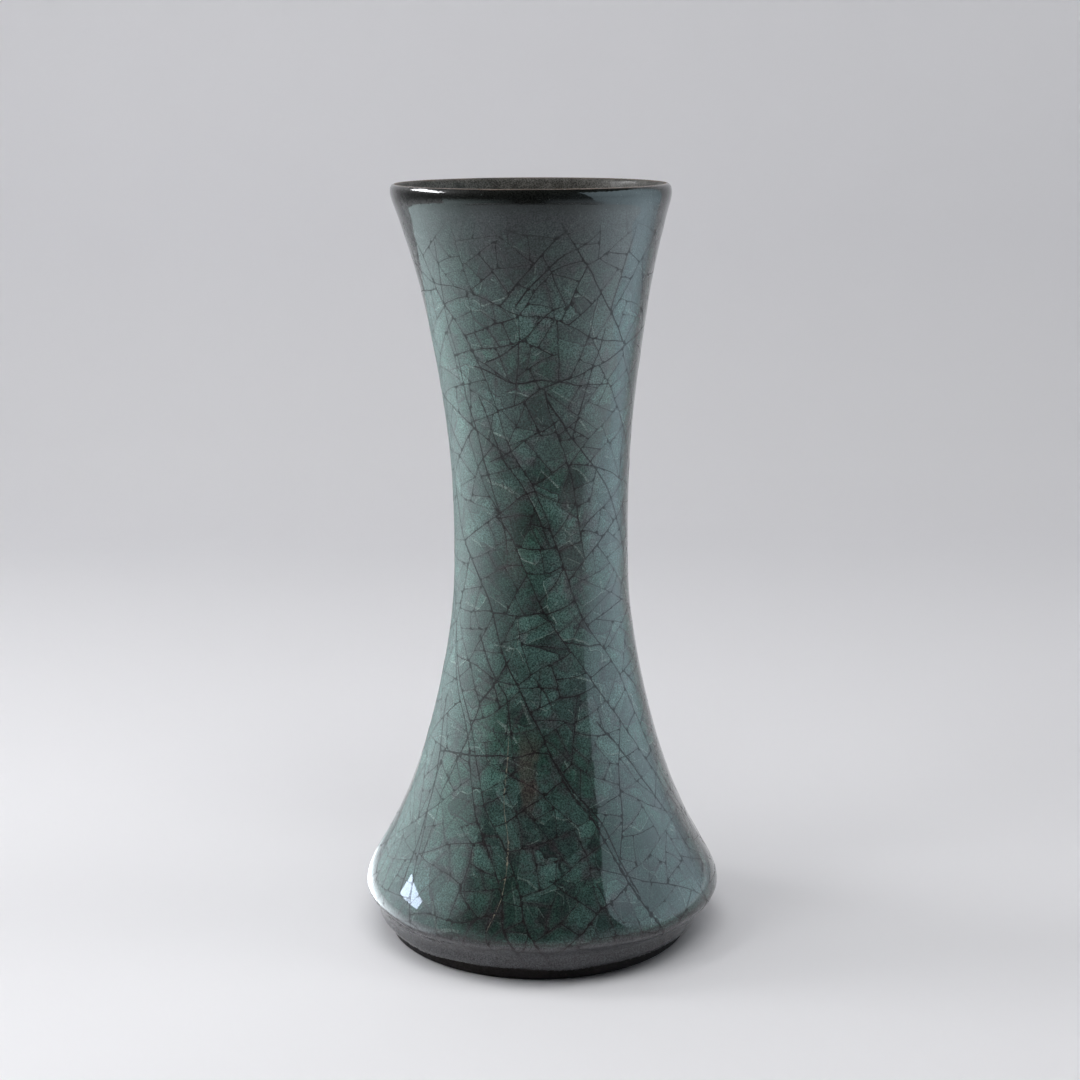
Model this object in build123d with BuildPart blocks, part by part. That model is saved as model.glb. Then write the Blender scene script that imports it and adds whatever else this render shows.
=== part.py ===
from build123d import *
import os

os.makedirs("parts", exist_ok=True)

# A glazed stoneware vase: wide low skirt, long concave body, narrow waist and trumpet mouth.
# Millimetres, +Z up. The foot rests on z = 0 and the widest ring is centred on the Z axis.

# ---- overall form, measured on the glazed surface ----
vase_height = 220.0
skirt_radius = 52.9
skirt_height = 13.3
waist_radius = 25.55
waist_height = 118.0
rim_radius = 39.85
rim_flare = 0.05
rim_drift = -2.6
neck_rings = 10

# Points of the outline between the widest ring and the waist: (radius, height).
skirt_outline = [(49.75, 22.0), (44.85, 31.0), (39.15, 44.0), (33.55, 61.5), (28.55, 83.5), (26.2, 100.0)]

# Points of the outline between the waist and the rim: (radius, height).
neck_outline = [(26.6, 149.0), (30.15, 176.0), (34.4, 198.0), (38.75, 214.0)]

# ---- foot ring, trimmed slightly off the axis of the body ----
foot_drift = -1.0
foot_contact_radius = 44.6
foot_chamfer_radius = 45.5
foot_wall_radius = 48.3
foot_wall_height = 5.2
foot_top_radius = 49.8
foot_top_height = 10.2
glaze_line_height = 3.2
undercut_radius = 51.5
undercut_height = 11.0
undercut_low_radius = 47.0
undercut_low_height = 8.6
undercut_slope = 0.2
foot_inner_radius = 38.2
recess_radius = 37.4
recess_roof_height = 3.6
recess_cove = 2.0

# ---- walls and glaze coats ----
wall_at_rim = 3.4
wall_at_waist = 4.8
wall_at_skirt = 7.4
floor_height = 12.0
floor_bend_radius = 34.0
floor_bend_height = 15.5
coat_at_foot = 1.2
coat_at_rim = 0.5
clay_rise = 0.9
liner_coat = 0.5
base_coat = 0.6
lap_height = 212.0
bead_radius = 0.4
lip_radius = 1.6
clay_lip_radius = 1.1


def lean(height):
    """Sideways drift of the neck axis at a height."""
    rise = max(0.0, (height - waist_height) / (vase_height - waist_height))
    return rim_drift * rise**2


def coat(height):
    """Thickness of the outer glaze, which ran down in the firing and thickens downwards."""
    return coat_at_foot + (coat_at_rim - coat_at_foot) * height / vase_height


def wall(height):
    """Thickness of the clay wall with both glazes: thin at the rim, thick at the skirt."""
    if height > waist_height:
        part_way = (height - waist_height) / (vase_height - waist_height)
        return wall_at_waist + (wall_at_rim - wall_at_waist) * part_way
    part_way = (waist_height - height) / waist_height
    return wall_at_waist + (wall_at_skirt - wall_at_waist) * part_way


def bare_wall(height):
    """Inset of the clay's inner surface, behind the liner glaze."""
    return wall(height) - liner_coat


def no_inset(height):
    """Inset of the glazed outer surface."""
    return 0.0


def neck_sections(inset):
    """Level circles up the leaning neck, for a surface inset from the glazed outline."""
    points = [(waist_radius, waist_height)] + neck_outline + [(rim_radius, vase_height)]
    outline = Spline(points, tangents=[(0, 1), (rim_flare, 1)])
    sections = []
    for step in range(neck_rings + 1):
        point = outline @ (step / neck_rings)
        with BuildSketch(Plane.XY.offset(point.Y)) as ring:
            with Locations((lean(point.Y), 0)):
                Circle(point.X - inset(point.Y))
        sections.append(ring.sketch)
    return sections


def skirt_points(inset, start):
    """Outline points from a start near the skirt up to the waist."""
    points = [(radius - inset(height), height) for radius, height in skirt_outline]
    return [start] + points + [(waist_radius - inset(waist_height), waist_height)]


def rim_edges(form):
    """The edges of a form at the height of its highest one."""
    return form.edges().group_by(Axis.Z)[-1]


foot_axis = Axis((foot_drift, 0, 0), (0, 0, 1))

# ---- outer outline of the glazed vase, down to the glaze line ----
with BuildPart() as glazed_form:
    with BuildSketch(Plane.XZ) as glazed_skirt:
        with BuildLine():
            low_point = (undercut_low_radius, undercut_low_height)
            undercut_point = (undercut_radius, undercut_height)
            widest_point = (skirt_radius, skirt_height)
            Spline([low_point, undercut_point, widest_point], tangents=[(1, undercut_slope), (0, 1)])
            Spline(skirt_points(no_inset, widest_point), tangents=[(0, 1), (0, 1)])
            Polyline(
                (waist_radius, waist_height),
                (0, waist_height),
                (0, undercut_low_height),
                low_point,
            )
        make_face()
    revolve(axis=Axis.Z)
    loft(neck_sections(no_inset))
    with BuildSketch(Plane.XZ) as glazed_foot:
        with BuildLine():
            Polyline(
                (foot_drift, glaze_line_height),
                (foot_drift + foot_chamfer_radius + coat_at_foot, glaze_line_height),
                (foot_drift + foot_wall_radius, foot_wall_height),
                (foot_drift + foot_top_radius, foot_top_height),
                (foot_drift, foot_top_height),
                close=True,
            )
        make_face()
    revolve(axis=foot_axis)

# ---- outer outline of the bare clay, from the foot to under the lip glaze ----
with BuildPart() as clay_form:
    with BuildSketch(Plane.XZ) as clay_skirt:
        with BuildLine():
            low_point = (undercut_low_radius - coat_at_foot, undercut_low_height + clay_rise)
            undercut_point = (undercut_radius - coat_at_foot, undercut_height + clay_rise)
            widest_point = (skirt_radius - coat_at_foot, skirt_height + clay_rise)
            Spline([low_point, undercut_point, widest_point], tangents=[(1, undercut_slope), (0, 1)])
            Spline(skirt_points(coat, widest_point), tangents=[(0, 1), (0, 1)])
            Polyline(
                (waist_radius - coat(waist_height), waist_height),
                (0, waist_height),
                (0, undercut_low_height + clay_rise),
                low_point,
            )
        make_face()
    revolve(axis=Axis.Z)
    loft(neck_sections(coat))
    with BuildSketch(Plane.XZ) as clay_foot:
        with BuildLine():
            Polyline(
                (foot_drift, 0),
                (foot_drift + foot_contact_radius, 0),
                (foot_drift + foot_chamfer_radius, glaze_line_height),
                (foot_drift + foot_wall_radius - coat_at_foot, foot_wall_height),
                (foot_drift + foot_top_radius - coat_at_foot, foot_top_height + clay_rise),
                (foot_drift, foot_top_height + clay_rise),
                close=True,
            )
        make_face()
    revolve(axis=foot_axis)
    clay_top = vase_height - coat_at_rim
    split(bisect_by=Plane.XY.offset(clay_top), keep=Keep.BOTTOM)

# ---- hollow inside the clay, before the liner glaze ----
with BuildPart() as clay_hollow:
    with BuildSketch(Plane.XZ) as clay_cavity:
        with BuildLine():
            floor_point = (0, floor_height - liner_coat)
            bend_point = (floor_bend_radius + liner_coat, floor_bend_height - liner_coat)
            Spline([floor_point] + skirt_points(bare_wall, bend_point), tangents=[(1, 0), (0, 1)])
            waist_point = (waist_radius - bare_wall(waist_height), waist_height)
            Polyline(waist_point, (0, waist_height), floor_point)
        make_face()
    revolve(axis=Axis.Z)
    loft(neck_sections(bare_wall))

# ---- hollow inside the finished vase ----
with BuildPart() as glazed_hollow:
    with BuildSketch(Plane.XZ) as glazed_cavity:
        with BuildLine():
            floor_point = (0, floor_height)
            bend_point = (floor_bend_radius, floor_bend_height)
            Spline([floor_point] + skirt_points(wall, bend_point), tangents=[(1, 0), (0, 1)])
            waist_point = (waist_radius - wall(waist_height), waist_height)
            Polyline(waist_point, (0, waist_height), floor_point)
        make_face()
    revolve(axis=Axis.Z)
    loft(neck_sections(wall))

# ---- fired clay body: wall, floor, rounded lip and turned foot ring ----
with BuildPart() as clay_body:
    add(clay_form.part)
    add(clay_hollow.part, mode=Mode.SUBTRACT)
    with BuildSketch(Plane.XZ) as recess:
        with BuildLine():
            cove_start = (foot_drift + recess_radius, recess_roof_height - recess_cove)
            cove_end = (foot_drift + recess_radius - recess_cove, recess_roof_height)
            Polyline(cove_end, (foot_drift, recess_roof_height), (foot_drift, 0))
            Polyline((foot_drift, 0), (foot_drift + foot_inner_radius, 0), cove_start)
            RadiusArc(cove_start, cove_end, -recess_cove)
        make_face()
    revolve(axis=foot_axis, mode=Mode.SUBTRACT)
    fillet(rim_edges(clay_body.part), radius=clay_lip_radius)

# ---- crackled outer glaze: skirt, body, neck, lip and a lap inside the mouth ----
with BuildPart() as clay_core:
    add(clay_form.part)
    split(bisect_by=Plane.XY.offset(lap_height), keep=Keep.BOTTOM)

with BuildPart() as outer_glaze:
    add(glazed_form.part)
    add(glazed_hollow.part, mode=Mode.SUBTRACT)
    fillet(rim_edges(outer_glaze.part), radius=lip_radius)
    line_edge = outer_glaze.edges().group_by(Axis.Z)[0]
    fillet(line_edge, radius=bead_radius)
    add(clay_core.part, mode=Mode.SUBTRACT)
    add(clay_body.part, mode=Mode.SUBTRACT)

# ---- liner glaze over the inner wall and floor ----
with BuildPart() as inner_glaze:
    add(clay_hollow.part)
    split(bisect_by=Plane.XY.offset(lap_height), keep=Keep.BOTTOM)
    add(glazed_hollow.part, mode=Mode.SUBTRACT)

# ---- glaze in the recess under the base ----
with BuildPart() as base_glaze:
    with BuildSketch(Plane.XZ) as base_coat_section:
        with BuildLine():
            coat_surface_height = recess_roof_height - base_coat
            roof_start = (foot_drift + recess_radius - recess_cove, recess_roof_height)
            roof_end = (foot_drift + recess_radius, recess_roof_height - recess_cove)
            coat_start = (foot_drift + recess_radius - base_coat, recess_roof_height - recess_cove)
            coat_end = (foot_drift + recess_radius - recess_cove, coat_surface_height)
            centre_low = (foot_drift, coat_surface_height)
            centre_high = (foot_drift, recess_roof_height)
            Polyline(coat_end, centre_low, centre_high, roof_start)
            RadiusArc(roof_start, roof_end, recess_cove)
            Line(roof_end, coat_start)
            RadiusArc(coat_start, coat_end, base_coat - recess_cove)
        make_face()
    revolve(axis=foot_axis)

clay_body.part.label = "clay_body"
outer_glaze.part.label = "outer_glaze"
inner_glaze.part.label = "inner_glaze"
base_glaze.part.label = "base_glaze"

export_step(clay_body.part, "parts/clay_body.step")
export_step(outer_glaze.part, "parts/outer_glaze.step")
export_step(inner_glaze.part, "parts/inner_glaze.step")
export_step(base_glaze.part, "parts/base_glaze.step")
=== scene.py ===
from math import atan2, cos, hypot, pi, radians, sin, sqrt

import bpy
import numpy as np
from mathutils import Matrix, Vector, geometry


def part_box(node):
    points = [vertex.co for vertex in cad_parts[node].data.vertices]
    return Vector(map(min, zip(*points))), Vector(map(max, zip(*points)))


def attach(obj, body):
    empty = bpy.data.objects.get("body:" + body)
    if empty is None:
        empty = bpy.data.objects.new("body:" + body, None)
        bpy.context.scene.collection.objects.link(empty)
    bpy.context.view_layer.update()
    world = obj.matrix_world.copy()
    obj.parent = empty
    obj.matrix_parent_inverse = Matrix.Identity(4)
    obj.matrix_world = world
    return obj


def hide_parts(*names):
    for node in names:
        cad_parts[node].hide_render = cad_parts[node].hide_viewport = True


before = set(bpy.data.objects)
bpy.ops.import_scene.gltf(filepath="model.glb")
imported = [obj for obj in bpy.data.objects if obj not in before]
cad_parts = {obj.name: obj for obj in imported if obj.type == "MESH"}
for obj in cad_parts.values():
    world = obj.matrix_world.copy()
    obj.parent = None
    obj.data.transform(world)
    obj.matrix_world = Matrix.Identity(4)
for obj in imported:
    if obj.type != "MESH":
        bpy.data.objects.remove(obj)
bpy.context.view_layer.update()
MM = 0.001
TURN = 2 * pi

# ---- sizes, in millimetres
glaze_low, glaze_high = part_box("outer_glaze")
recess_low, recess_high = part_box("base_glaze")
HEIGHT = glaze_high.z / MM
RING_RADIUS = (glaze_high.x - glaze_low.x) / 2 / MM
RECESS_RADIUS = (recess_high.x - recess_low.x) / 2 / MM
# how far the foot and the rim stand from the frame's axis, along x
FOOT_DRIFT = (recess_high.x + recess_low.x) / 2 / MM
RIM_DRIFT = -2.6
# where the outer glaze ends inside the mouth and laps over the liner
LAP_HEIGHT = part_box("inner_glaze")[1].z / MM
ARRIS_HEIGHT = 13.3
WAIST_HEIGHT = 118.0
# the lip: its outer and inner round, and how far the outer round falls below the crest
LIP_OUT, LIP_IN, LIP_FALL = 1.4, 1.65, 2.2
LIP_TURN_POINTS = 12
ON_AXIS = 0.001
WALL_RIM, WALL_WAIST, WALL_SKIRT = 3.4, 4.8, 7.4

# Radius of the glazed surface at a few heights, from the widest ring to the rim.
BODY_HEIGHTS = (ARRIS_HEIGHT, 22.0, 31.0, 44.0, 61.5, 83.5, 100.0, WAIST_HEIGHT,
                149.0, 176.0, 198.0, 208.4, 213.6, 215.6, 217.8)
BODY_RADII = (RING_RADIUS, 49.75, 44.85, 39.15, 33.55, 28.55, 26.2, 25.55,
              26.6, 30.15, 34.4, 37.2, 38.75, 39.38, 39.68)
RIM_SLOPE = 0.02
CREST_RADIUS = BODY_RADII[-1] - LIP_OUT

# Outline below the widest ring, as (radius, height): the glaze line and the undercut.
GLAZE_LINE = ((45.7, 3.9), (46.0, 3.3), (46.7, 3.25), (47.2, 3.9), (48.3, 5.3), (48.75, 7.2))
UNDERCUT = ((49.2, 8.5), (50.1, 9.7), (51.3, 11.0), (52.45, 12.1))

# Cracks that run across the front, as (degrees from the front towards +X, height) along each.
LONG_CRACKS = (
    ((-39, 162), (-20, 144), (5, 122)), ((6, 163), (20, 151), (47, 133), (69, 116)),
    ((-50, 171), (-48, 161), (-32, 139), (-23, 117)), ((-48, 206), (-52, 181), (-50, 171)),
    ((38, 183), (28, 162), (20, 151)), ((-39, 170), (4, 168), (44, 166)), ((-31, 145), (12, 157)),
    ((-49, 18), (-51, 49), (-36, 76), (-18, 89)), ((-63, 73), (-58, 48), (-54, 21)),
    ((9, 59), (25, 42), (35, 25)), ((33, 71), (57, 48), (70, 27)),
    ((-39, 93), (-21, 80), (-15, 68)), ((-60, 58), (-21, 63), (7, 61)),
    ((-9, 190), (12, 201), (29, 210)), ((-32, 172), (12, 188)),
)
# One fine crack that never took up any stain and stays pale.
PALE_CRACK = ((-17, 68), (-15.5, 50), (-15, 32), (-17, 17))

# Widths and strengths of cracks by rank, which says how many others came before.
PALE_RANK = 99
RANK_WIDTHS = ((0, 4, 8, 12, PALE_RANK), (0.62, 0.48, 0.34, 0.26, 0.26))
RANK_STRENGTHS = ((0, 5, 8, 12, PALE_RANK), (1.0, 0.95, 0.85, 0.70, 0.70))

rng = np.random.default_rng(7)


def clamped_spline(xs, ys, first, last):
    """Cubic spline through points, with given end slopes. Returns a function."""
    xs, ys = np.array(xs, float), np.array(ys, float)
    n = len(xs)
    h = np.diff(xs)
    m = np.eye(n)
    b = np.zeros(n)
    b[0], b[-1] = first, last
    for i in range(1, n - 1):
        m[i, i - 1:i + 2] = h[i], 2 * (h[i] + h[i - 1]), h[i - 1]
        b[i] = 3 * (h[i] * (ys[i] - ys[i - 1]) / h[i - 1] + h[i - 1] * (ys[i + 1] - ys[i]) / h[i])
    slope = np.linalg.solve(m, b)

    def value(x):
        x = np.clip(np.asarray(x, float), xs[0], xs[-1])
        k = np.clip(np.searchsorted(xs, x) - 1, 0, n - 2)
        t = (x - xs[k]) / h[k]
        rise = (1 + 2 * t) * (1 - t) ** 2 * ys[k] + t * t * (3 - 2 * t) * ys[k + 1]
        return rise + t * (1 - t) ** 2 * h[k] * slope[k] + t * t * (t - 1) * h[k] * slope[k + 1]

    return value


body_radius = clamped_spline(BODY_HEIGHTS, BODY_RADII, 0.0, RIM_SLOPE)


def smooth_step(x, low, high):
    """Eases from nothing to one while x goes from low to high."""
    t = np.clip((np.asarray(x, float) - low) / (high - low), 0, 1)
    return t * t * (3 - 2 * t)


def centre_x(z):
    """Where the middle of a level ring lies: the neck leans and the foot is off centre."""
    rise = np.clip((z - WAIST_HEIGHT) / (HEIGHT - WAIST_HEIGHT), 0, 1)
    return RIM_DRIFT * rise**2 + FOOT_DRIFT * (1 - smooth_step(z, 7.5, 12.0))


def wall(z):
    """Thickness of the wall with both glazes, at a height."""
    up = np.clip((z - WAIST_HEIGHT) / (HEIGHT - WAIST_HEIGHT), 0, 1)
    down = np.clip((WAIST_HEIGHT - z) / WAIST_HEIGHT, 0, 1)
    return WALL_WAIST + (WALL_RIM - WALL_WAIST) * up + (WALL_SKIRT - WALL_WAIST) * down


def resample(points, step):
    """Points spaced evenly along a path."""
    points = np.array(points, float)
    length = np.r_[0, np.cumsum(np.hypot(*np.diff(points, axis=0).T))]
    s = np.linspace(0, length[-1], max(8, int(length[-1] / step)))
    return np.c_[np.interp(s, length, points[:, 0]), np.interp(s, length, points[:, 1])]


def round_corners(path, sigma, step):
    """Softens the corners of an evenly spaced path, with its two ends held."""
    reach = int(4 * sigma / step)
    kernel = np.exp(-0.5 * (np.arange(-reach, reach + 1) * step / sigma) ** 2)
    kernel /= kernel.sum()
    before = 2 * path[0] - path[reach:0:-1]
    after = 2 * path[-1] - path[-2:-reach - 2:-1]
    padded = np.r_[before, path, after]
    return np.c_[tuple(np.convolve(padded[:, k], kernel, "valid") for k in (0, 1))]


def turned(points, step, sigma):
    """An evenly spaced path through points, with its corners softened."""
    return round_corners(resample(points, step), sigma, step)


def outer_path():
    """Glazed outer surface as (radius, height), from the glaze line over the lip to the lap."""
    heights = np.arange(ARRIS_HEIGHT, HEIGHT - LIP_FALL, PATH_STEP)
    side = list(zip(body_radius(heights), heights))
    over = []
    for first, last, skipped, wide, tall in (
        (0.0, pi / 2, 0, LIP_OUT, LIP_FALL),
        (pi / 2, pi, 1, LIP_IN, LIP_IN),
    ):
        for a in np.linspace(first, last, LIP_TURN_POINTS)[skipped:]:
            over.append((CREST_RADIUS + wide * cos(a), HEIGHT - tall + tall * sin(a)))
    down = np.arange(HEIGHT - LIP_IN - 1.0, LAP_HEIGHT - 0.1, -PATH_STEP)
    inner = list(zip(body_radius(down) - wall(down), down))
    return [*GLAZE_LINE, *UNDERCUT, *side, *over, *inner]


PATH_STEP = 0.5
GLAZE_STEP, GLAZE_CORNER = 0.12, 0.5
glaze_path = turned(outer_path(), GLAZE_STEP, GLAZE_CORNER)

# Waves round the wall, as (waves in a turn, height of a wave), and how they wind up the wall.
WAVE_SIZES = ((1, 0.05), (2, 0.07), (3, 0.05), (5, 0.025), (7, 0.018), (11, 0.01))
WAVE_WINDING = (0.02, 0.05)
WAVES = [(k, a, rng.uniform(0, TURN), rng.uniform(*WAVE_WINDING), rng.uniform(0, 6))
         for k, a in WAVE_SIZES]


def throwing(theta, z):
    """Slow unevenness of a hand-thrown wall, always inwards of the true round."""
    total = np.zeros(np.broadcast(theta, z).shape)
    limit = 0.0
    for k, a, phase, per_mm, shift in WAVES:
        total = total + a * np.cos(k * theta + phase + 2.0 * np.sin(z * per_mm + shift))
        limit += a
    return total - limit


def make_mesh(name, verts, faces):
    mesh = bpy.data.meshes.new(name)
    mesh.from_pydata([tuple(v) for v in verts], [], faces)
    mesh.update()
    obj = bpy.data.objects.new(name, mesh)
    bpy.context.scene.collection.objects.link(obj)
    mesh.polygons.foreach_set("use_smooth", [True] * len(mesh.polygons))
    return obj


def lathe(name, path, around, relief):
    """A surface turned about the leaning axis. relief(theta, s, z) moves it along its normal, and
    an end of the path that lies on the axis closes in one point."""
    theta = np.linspace(0, TURN, around, endpoint=False)[None]
    s = np.r_[0, np.cumsum(np.hypot(*np.diff(path, axis=0).T))][:, None]
    slope = np.gradient(path, s[:, 0], axis=0)
    slope /= np.hypot(*slope.T)[:, None]
    lift = relief(theta, s, path[:, 1][:, None])
    r = path[:, 0][:, None] + lift * slope[:, 1][:, None]
    z = path[:, 1][:, None] - lift * slope[:, 0][:, None]
    verts = np.stack([centre_x(z) + r * np.cos(theta), r * np.sin(theta), z], -1)
    verts = verts.reshape(-1, 3) * MM
    index = np.arange(len(verts)).reshape(len(path), around)
    for row in (0, -1):
        if path[row, 0] < ON_AXIS:
            verts[index[row]] = verts[index[row]].mean(0)
            index[row] = index[row, 0]
    following = np.roll(index, -1, axis=1)
    quads = np.stack([index[:-1], following[:-1], following[1:], index[1:]], -1).reshape(-1, 4)
    used, quads = np.unique(quads, return_inverse=True)
    faces = [list(dict.fromkeys(quad)) for quad in quads.reshape(-1, 4).tolist()]
    return make_mesh(name, verts[used], faces)


# ---- crackle, in the unrolled glaze
# u is the angle round the axis and m the height along the surface divided by the radius,
# so that angles in the (u, m) sheet are true angles on the vase. The sheet's seam is at the back.
arc = np.r_[0, np.cumsum(np.hypot(*np.diff(glaze_path, axis=0).T))]
iso = np.r_[0, np.cumsum(np.diff(arc) / ((glaze_path[1:, 0] + glaze_path[:-1, 0]) / 2))]
lip_row = int(np.argmax(glaze_path[:, 1]))
ring_row = int(np.argmax(glaze_path[:, 0]))
ARC_LIP, ARC_RING = arc[lip_row], arc[ring_row]
ISO_LIP = iso[lip_row]
SEAM_TURN = pi / 2
FRONT = pi
# how the glaze breaks: the first directions in degrees, the area below which a flake stays
# whole, and the scatter of directions and places
FIRST_ANGLES = (-58, 40, -62, 30, 84, -50, 38, -20)
FIRST_RANKS = 5
FLAKE_AREA = (30.0, 105.0)
LONG_FLAKE = 2.2
FIRST_SCATTER, LATER_SCATTER = 7, 0.30
OFF_CENTRE = 0.12
BELOW_LIP = 2.6
# points along a crack: their spacing, and how near to a joint they come as a share of it
SPINE_STEP, JOINT_GAP = 1.1, 0.35
ON_CRACK, AT_TIP = 1e-7, 1e-6


def radius_at(m):
    """Radius of the glazed surface at a height in the sheet."""
    return np.interp(m, iso, glaze_path[:, 0])


def arc_at(m):
    """Length along the glazed surface, in millimetres, at a height in the sheet."""
    return np.interp(m, iso, arc)


def on_sheet(point):
    """A place on the front, as degrees and height, in the sheet."""
    degrees, height = point
    on_side = slice(ring_row, lip_row)
    m = np.interp(height, glaze_path[on_side, 1], iso[on_side])
    return FRONT + radians(degrees), float(m)


def polygon_facts(poly):
    """Area, centroid, direction of the long side and stretch of a convex polygon."""
    p = np.array(poly)
    q = np.roll(p, -1, axis=0)
    cross = p[:, 0] * q[:, 1] - q[:, 0] * p[:, 1]
    area = cross.sum() / 2
    centre = ((p + q) * cross[:, None]).sum(0) / (6 * area)
    d = p - centre
    xx, yy, xy = (d[:, 0] ** 2).sum(), (d[:, 1] ** 2).sum(), (d[:, 0] * d[:, 1]).sum()
    stretch = sqrt(max(xx, yy) / max(min(xx, yy), 1e-12))
    return abs(area), centre, 0.5 * atan2(2 * xy, xx - yy), stretch


def cut_polygon(poly, point, along):
    """Cuts a convex polygon by a line. Returns both halves and the two ends of the cut."""
    side = [(p[1] - point[1]) * along[0] - (p[0] - point[0]) * along[1] for p in poly]
    left, right, ends = [], [], []
    for i, p in enumerate(poly):
        j = (i + 1) % len(poly)
        (left if side[i] >= 0 else right).append(p)
        if (side[i] >= 0) != (side[j] >= 0):
            t = side[i] / (side[i] - side[j])
            end = (p[0] + t * (poly[j][0] - p[0]), p[1] + t * (poly[j][1] - p[1]))
            left.append(end)
            right.append(end)
            ends.append(end)
    return left, right, ends


def fracture():
    """Cracks as (start, end, rank): each one stops at those before it."""
    top = ISO_LIP - BELOW_LIP / radius_at(ISO_LIP)
    todo = [([(0, 0), (TURN, 0), (TURN, top), (0, top)], 0)]
    cracks = []
    while todo:
        poly, rank = todo.pop(0)
        area, centre, long_way, stretch = polygon_facts(poly)
        if area * radius_at(centre[1]) ** 2 < rng.uniform(*FLAKE_AREA):
            continue
        if rank < FIRST_RANKS and stretch < LONG_FLAKE:
            planned = FIRST_ANGLES[len(cracks) % len(FIRST_ANGLES)]
            angle = radians(planned + rng.normal(0, FIRST_SCATTER))
        else:
            angle = long_way + pi / 2 + rng.normal(0, LATER_SCATTER)
        point = centre + rng.normal(0, 1, 2) * sqrt(area) * OFF_CENTRE
        a, b, ends = cut_polygon(poly, point, (cos(angle), sin(angle)))
        if len(ends) != 2 or len(a) < 3 or len(b) < 3:
            continue
        cracks.append((ends[0], ends[1], rank))
        todo += [(a, rank + 1), (b, rank + 1)]
    return cracks


def placed_cracks():
    """The long cracks across the front, then the pale one, as (start, end, rank)."""
    lines = []
    for path, rank in [(path, 1) for path in LONG_CRACKS] + [(PALE_CRACK, PALE_RANK)]:
        sheet_path = [on_sheet(point) for point in path]
        lines += [(a, b, rank) for a, b in zip(sheet_path, sheet_path[1:])]
    return lines


def segment_distance(points, starts, ends, block=4000):
    """Distance from each point to its nearest segment, and which one."""
    best = np.full(len(points), 1e9)
    which = np.zeros(len(points), int)
    d = ends - starts
    dd = np.maximum((d**2).sum(1), 1e-18)
    for i in range(0, len(points), block):
        p = points[i:i + block, None] - starts[None]
        t = np.clip((p * d[None]).sum(2) / dd[None], 0, 1)
        dist = np.sqrt(((p - t[..., None] * d[None]) ** 2).sum(2))
        which[i:i + block] = dist.argmin(1)
        best[i:i + block] = dist.min(1)
    return best, which


def trace_cracks(cracks):
    """Points along each crack and just beside it, and the sheet's constraint edges."""
    starts = np.array([c[0] for c in cracks], float)
    ends = np.array([c[1] for c in cracks], float)
    ranks = np.array([c[2] for c in cracks])
    pale = ranks == PALE_RANK
    widths = np.interp(ranks, *RANK_WIDTHS) * rng.uniform(0.8, 1.25, len(cracks))
    strengths = np.interp(ranks, *RANK_STRENGTHS) * rng.uniform(0.55, 1.25, len(cracks))
    strengths = np.where(pale, -1.0, np.clip(strengths, 0.2, 1.0))
    tips = np.r_[starts, ends]
    spine, value, edges, pale_edges, beside, owner = [], [], [], [], [], []
    for k in range(len(cracks)):
        d = ends[k] - starts[k]
        t = ((tips - starts[k]) @ d) / (d @ d)
        off = np.hypot(*(tips - starts[k] - t[:, None] * d).T)
        stops = t[(off < ON_CRACK) & (t > AT_TIP) & (t < 1 - AT_TIP)]
        long_mm = hypot(*d) * radius_at((starts[k][1] + ends[k][1]) / 2)
        apart = SPINE_STEP * JOINT_GAP / long_mm
        even = np.linspace(0, 1, max(2, int(long_mm / SPINE_STEP)) + 1)
        even = [t for t in even if t in (0, 1) or all(abs(t - stop) > apart for stop in stops)]
        ts = np.unique(np.r_[even, stops])
        points = starts[k] + ts[:, None] * d
        first = len(spine)
        spine += list(points)
        value += [strengths[k]] * len(points)
        kept = pale_edges if pale[k] else edges
        kept += [(first + i, first + i + 1) for i in range(len(points) - 1)]
        across = np.array((-d[1], d[0])) / hypot(*d)
        half = widths[k] / 2 / radius_at(points[:, 1])
        for sign in (-1, 1):
            beside += list(points + sign * across * half[:, None])
            owner += [k] * len(points)
    spine, value, beside, owner = (np.array(found) for found in (spine, value, beside, owner))
    return starts, ends, widths, spine, value, edges, pale_edges, beside, owner


# spacing of the plain points: up the lip, the bends and the side, and round the vase
LIP_ROWS, BEND_ROWS, SIDE_ROWS, ROUND_STEP = 0.36, 0.55, 1.6, 1.7
LIP_REACH, RING_REACH = 5.5, 4


def sheet_grid():
    """Points of the plain surface, in rows that lie closer where the outline bends sharply."""
    rows, s = [], 0.0
    while s < arc[-1]:
        rows.append(s)
        if abs(s - ARC_LIP) < LIP_REACH:
            s += LIP_ROWS
        elif s < ARC_RING + RING_REACH or s > ARC_LIP:
            s += BEND_ROWS
        else:
            s += SIDE_ROWS
    rows.append(arc[-1])
    points = []
    for i, s in enumerate(rows):
        m = float(np.interp(s, arc, iso))
        count = int(TURN * radius_at(m) / ROUND_STEP)
        u = (np.arange(count + 1) + (0.5 if i % 2 else 0.0)) / count * TURN
        points += [(x, m) for x in np.unique(np.clip(np.r_[0, u, TURN], 0, TURN))]
    return np.array(points)


# how clear the other points lie of cracks and of the sheet's ends, and what counts as on the seam
BESIDE_SHARE, GRID_GAP, SHEET_MARGIN, ON_SEAM = 0.46, 0.28, 0.002, 1e-9


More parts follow.
